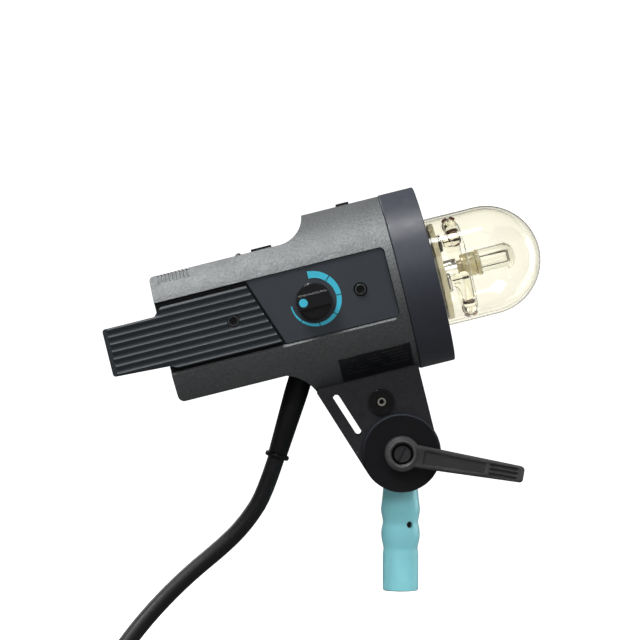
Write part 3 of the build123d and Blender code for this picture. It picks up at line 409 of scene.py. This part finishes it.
def lathe(profile, n=64, closed=False):
    """Rings round local X from (x, r) points."""
    verts, faces = [], []
    rings = []
    for x, r in profile:
        if r < 1e-7:
            rings.append([len(verts)])
            verts.append((x, 0, 0))
        else:
            rings.append(list(range(len(verts), len(verts) + n)))
            verts += [(x, r * cos(2 * pi * k / n), r * sin(2 * pi * k / n)) for k in range(n)]
    pairs = list(zip(rings, rings[1:])) + ([(rings[-1], rings[0])] if closed else [])
    for a, b in pairs:
        for k in range(n):
            j = (k + 1) % n
            if len(a) == 1 and len(b) == 1:
                continue
            if len(a) == 1:
                faces.append((a[0], b[j], b[k]))
            elif len(b) == 1:
                faces.append((a[k], a[j], b[0]))
            else:
                faces.append((a[k], a[j], b[j], b[k]))
    return verts, faces


def frames_along(path):
    """Parallel-transport frames along points."""
    pts = [Vector(p) for p in path]
    tan = []
    for i in range(len(pts)):
        a = pts[max(0, i - 1)]
        b = pts[min(len(pts) - 1, i + 1)]
        tan.append((b - a).normalized())
    up = Vector((0, 1, 0)) if abs(tan[0].y) < 0.9 else Vector((1, 0, 0))
    u = (up - tan[0] * up.dot(tan[0])).normalized()
    out = []
    for p, t in zip(pts, tan):
        u = (u - t * u.dot(t)).normalized()
        out.append((p, t, u, t.cross(u)))
    return out


def tube(path, radius, n=16, cap=True):
    verts, faces = [], []
    fr = frames_along(path)
    rad = radius if callable(radius) else (lambda s: radius)
    for i, (p, t, u, v) in enumerate(fr):
        r = rad(i / (len(fr) - 1))
        verts += [p + (u * cos(2 * pi * k / n) + v * sin(2 * pi * k / n)) * r for k in range(n)]
    for i in range(len(fr) - 1):
        for k in range(n):
            j = (k + 1) % n
            faces.append((i * n + k, i * n + j, (i + 1) * n + j, (i + 1) * n + k))
    if cap:
        faces.append(tuple(range(n))[::-1])
        faces.append(tuple((len(fr) - 1) * n + k for k in range(n)))
    return verts, faces


def spline_points(points, resolution=6):
    """Points along the order-3 NURBS line that has these control points."""
    cu = bpy.data.curves.new("route", "CURVE")
    cu.dimensions = "3D"
    cu.resolution_u = resolution
    sp = cu.splines.new("NURBS")
    sp.points.add(len(points) - 1)
    for sp_point, p in zip(sp.points, points):
        sp_point.co = (*p, 1.0)
    sp.order_u = 3
    sp.use_endpoint_u = True
    ob = bpy.data.objects.new("route", cu)
    me = bpy.data.meshes.new_from_object(ob)
    pts = [v.co.copy() for v in me.vertices]
    bpy.data.objects.remove(ob)
    bpy.data.meshes.remove(me)
    bpy.data.curves.remove(cu)
    return pts


# ---------------------------------------------------------------- camera
cam_data = bpy.data.cameras.new("camera")
cam_data.sensor_width = 36.0
cam_data.lens = 144.6
cam_data.clip_end = 50
cam = bpy.data.objects.new("camera", cam_data)
cam.location = (-0.0595, -1.9, 0.1995)
cam.rotation_euler = (radians(90), 0, 0)
bpy.context.scene.collection.objects.link(cam)
bpy.context.scene.camera = cam

# ---------------------------------------------------------------- the lead
CX, CY, CR, ST, RC = -0.285, 0.0, 0.070, 0.01295, CORD_D / 2
ROW1 = FLOOR + RC
WAY = [
    (-0.0876, 0.0, 0.1110), (-0.0990, 0.0, 0.0737), (-0.1120, -0.0002, 0.0525), (-0.1280, -0.0008, 0.0350),
    (-0.1600, -0.0040, 0.0090), (-0.1910, -0.0150, -0.0230), (-0.2160, -0.0330, -0.0580),
    (-0.2360, -0.0500, -0.0900), (-0.2620, -0.0670, -0.1120),
]
SLOTS = [(CR + ST / 2, ST + 0.0113), (CR + ST, ST), (CR, ST), (CR - ST, ST), (CR - ST, 0.0), (CR, 0.0), (CR + ST, 0.0)]


def coil_point(t, r, z):
    a = radians(-90.0 - t)
    return (CX + r * cos(a), CY + r * sin(a), z)


for t, r, z in ((5, 0.0745, 0.0249), (25, 0.0778, 0.0260)):
    WAY.append(coil_point(t, r, ROW1 + z))
PER_TURN = 16
for k in range(6):
    for i in range(PER_TURN):
        t = i * 360.0 / PER_TURN
        if k == 0 and t < 40:
            continue
        f = min(max((t - (6 - k) * 45.0) / 90.0, 0.0), 1.0)
        f = f * f * (3 - 2 * f)
        (r0, z0), (r1, z1) = SLOTS[k], SLOTS[k + 1]
        r = (r0 + (r1 - r0) * f) / cos(pi / PER_TURN)
        hump = 0.0016 * max(0.0, 1.0 - abs(t - 258.75) / 60.0) if k == 0 else 0.0
        WAY.append(coil_point(t, r, ROW1 + z0 + (z1 - z0) * (f ** 3 if k == 0 else f) + hump))
for t, r in ((0, 0.0830), (25, 0.0860), (50, 0.0930), (78, 0.0986), (108, 0.0986), (138, 0.1000), (164, 0.1055)):
    WAY.append(coil_point(t, r, ROW1))
PLUG_AT = Vector((-0.2460, 0.1110, FLOOR + 0.0185))
WAY += [(-0.2770, 0.1100, -0.1410), tuple(PLUG_AT)]
way_points = spline_points(WAY, 5)
v, f = tube(way_points, RC, 14)
lead = mesh_object("supply_lead", v, f, None, "lead_rubber")
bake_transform(lead)
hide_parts("lead_drop", "lead_run", "lead_coil", "lead_tail")

# ---------------------------------------------------------------- spring under the lever's screw
turns, path = 3.4, []
for i in range(0, 137):
    t = i / 136
    a = 2 * pi * turns * t
    path.append(HEAD @ Vector((0.0056 * cos(a), -0.0401 - 0.0027 * t, 0.0056 * sin(a))))
v, f = tube(path, 0.00046, 10)
spring = mesh_object("lever_spring_coil", v, f, None, "spring_steel")
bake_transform(spring)
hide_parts("lever_spring")

# ---------------------------------------------------------------- small pieces round the lamps
def in_head(path, radius, name, mat, n=12):
    v, f = tube(path, radius, n)
    return mesh_object(name, v, f, "head", mat, HEAD)


def arc_points(centre_x, r, a0, a1, n=24):
    """Points on a circle round the lamp axis, degrees up from the knob side."""
    return [(centre_x, -r * cos(radians(a0 + (a1 - a0) * i / n)), A + r * sin(radians(a0 + (a1 - a0) * i / n))) for i in range(n + 1)]


RING, RING_X = 0.0315, 0.075
for tag, deg, way in (("a", 38.0, 1), ("b", -16.0, -1)):
    cy, cz = -RING * cos(radians(deg)), A + RING * sin(radians(deg))
    # pinched seal, electrode pin and cap on each leg of the flash tube
    v, f = lathe([(0.0626, 0.0042), (0.0626, 0.0058), (0.0634, 0.0062), (0.0646, 0.0060), (0.0652, 0.0052), (0.0652, 0.0042)], 40, closed=True)
    seat = mesh_object("tube_foot_" + tag, v, f, None, "black_plastic" if tag == "a" else "steel", HEAD @ Matrix.Translation((0, cy, cz)))
    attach(seat, "head")
    v, f = lathe([(0.0660, 0.0), (0.0660, 0.0004), (0.0735, 0.0004), (0.0745, 0.0009), (0.0775, 0.0009), (0.0780, 0.0006), (0.0780, 0.0)], 24)
    pin = mesh_object("electrode_" + tag, v, f, None, "filament_grey", HEAD @ Matrix.Translation((0, cy, cz)))
    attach(pin, "head")
# wire frame that carries the filament, then the spiral on it
wires = in_head([(0.0911, 0.0, A + 0.0036), (0.1114, 0.0, A + 0.0036), (0.1119, 0.0, A + 0.0034), (0.1120, 0.0, A + 0.0030), (0.1120, 0.0, A - 0.0038), (0.1119, 0.0, A - 0.0042), (0.1114, 0.0, A - 0.0044), (0.0911, 0.0, A - 0.0044)],
                0.00045, "filament_frame", "filament_grey", 10)
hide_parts("lamp_filament")
for tag, p0, p1, turns in (("side", (0.0985, A + 0.0036), (0.1122, A + 0.0036), 16), ("end", (0.1120, A + 0.0036), (0.1120, A - 0.0044), 10)):
    coil = []
    for i in range(0, turns * 14 + 1):
        t = i / (turns * 14)
        a = 2 * pi * turns * t
        x, z = p0[0] + (p1[0] - p0[0]) * t, p0[1] + (p1[1] - p0[1]) * t
        dx, dz = ((0, 1) if tag == "side" else (1, 0))
        coil.append((x + dx * 0.00072 * cos(a), 0.00072 * sin(a), z + dz * 0.00072 * cos(a)))
    in_head(coil, 0.00024, "filament_" + tag, "filament_grey", 6)
# dark red wire clips round the tube, two at the top and two at the bottom
for tag, up in (("top", 1), ("low", -1)):
    for side in (1, -1):
        arc = []
        for i in range(13):
            b = radians(side * (12 + 42 * i / 12))
            arc.append((RING_X + 0.0056 * sin(b), -0.0042, A + up * (RING - 0.0002 + 0.0056 * cos(b))))
        in_head(arc, 0.0010, "tube_clip_%s_%s" % (tag, "a" if side > 0 else "b"), "sleeve_red", 8)
# trigger leads and straps
in_head([(0.0626, -0.0075, A - 0.0095), (0.0660, -0.0085, A - 0.0105), (0.0700, -0.0120, A - 0.0150), (0.0725, -0.0155, A - 0.0215), (0.0735, -0.0180, A - 0.0245)],
        0.0005, "trigger_lead_low", "steel")
in_head([(0.0626, -0.0080, A + 0.0120), (0.0655, -0.0090, A + 0.0160), (0.0690, -0.0120, A + 0.0235), (0.0712, -0.0110, A + 0.0285)],
        0.0005, "trigger_lead_high", "steel")
for tag, y, z in (("a", -0.0095, -0.0125), ("b", 0.0095, -0.0125), ("c", 0.0, -0.0155)):
    v, f = lathe([(0.0624, 0.0), (0.0624, 0.0026), (0.0634, 0.0027), (0.0640, 0.0021), (0.0640, 0.0012), (0.0652, 0.0012), (0.0668, 0.0009), (0.0668, 0.0)], 24)
    stud = mesh_object("terminal_" + tag, v, f, None, "steel", HEAD @ Matrix.Translation((0, y, A + z)))
    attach(stud, "head")
# ---------------------------------------------------------------- stage and light
floor_mat, nt, p = new_mat("studio_white")
p.inputs["Base Color"].default_value = (0.92, 0.92, 0.92, 1)
p.inputs["Roughness"].default_value = 0.9
p.inputs["Specular IOR Level"].default_value = 0.1
p.inputs["Emission Color"].default_value = (1, 1, 1, 1)
p.inputs["Emission Strength"].default_value = 1.05
prof = [(0.0, 0.0), (1.0, 0.0), (3.0, 0.0), (3.6, 0.0)] + [(3.6 + 0.8 * sin(radians(a)), 0.8 - 0.8 * cos(radians(a))) for a in range(9, 91, 9)] + [(4.4, 3.2)]
verts, faces = [], []
for r, z in prof:
    verts += [(r * cos(2 * pi * k / 64), r * sin(2 * pi * k / 64), FLOOR + z) for k in range(64)]
for i in range(len(prof) - 1):
    faces += [(i * 64 + k, i * 64 + (k + 1) % 64, (i + 1) * 64 + (k + 1) % 64, (i + 1) * 64 + k) for k in range(64)]
backdrop = mesh_object("backdrop", verts, faces, None, floor_mat)
backdrop.visible_diffuse = False
backdrop.visible_glossy = False

world = bpy.data.worlds.new("studio")
bpy.context.scene.world = world
world.use_nodes = True
world.node_tree.nodes["Background"].inputs["Color"].default_value = (1, 1, 1, 1)
world.node_tree.nodes["Background"].inputs["Strength"].default_value = 0.12
bpy.context.scene.view_settings.view_transform = "Standard"


def area(name, loc, target, size, power, size_y=None, glossy=True, spread=180):
    d = bpy.data.lights.new(name, "AREA")
    d.energy = power
    d.shape = "RECTANGLE"
    d.size = size
    d.size_y = size_y or size
    d.spread = radians(spread)
    o = bpy.data.objects.new(name, d)
    o.location = loc
    o.rotation_euler = (Vector(target) - Vector(loc)).to_track_quat("-Z", "Y").to_euler()
    o.visible_glossy = glossy
    o.visible_camera = False
    o.visible_transmission = name != "strip_right"
    bpy.context.scene.collection.objects.link(o)


area("key_top_left", (-0.62, -0.50, 1.55), (-0.08, 0, 0.2), 0.75, 21.0, 0.8)
area("fill_front", (0.35, -2.0, 0.95), (0, 0, 0.2), 1.0, 10.0, glossy=False)
area("strip_right", (1.35, 0.50, 0.42), (0.08, 0, 0.24), 0.55, 6.0, 1.0)
area("rim_back", (-0.9, 1.0, 0.9), (0, 0, 0.2), 0.8, 5.0)
area("sparkle", (-0.45, -1.55, 0.95), (0, 0, 0.2), 0.07, 2.2)
area("low_fill", (0.14, -1.05, -0.12), (0.0, 0, -0.005), 0.12, 0.019, glossy=False, spread=12)
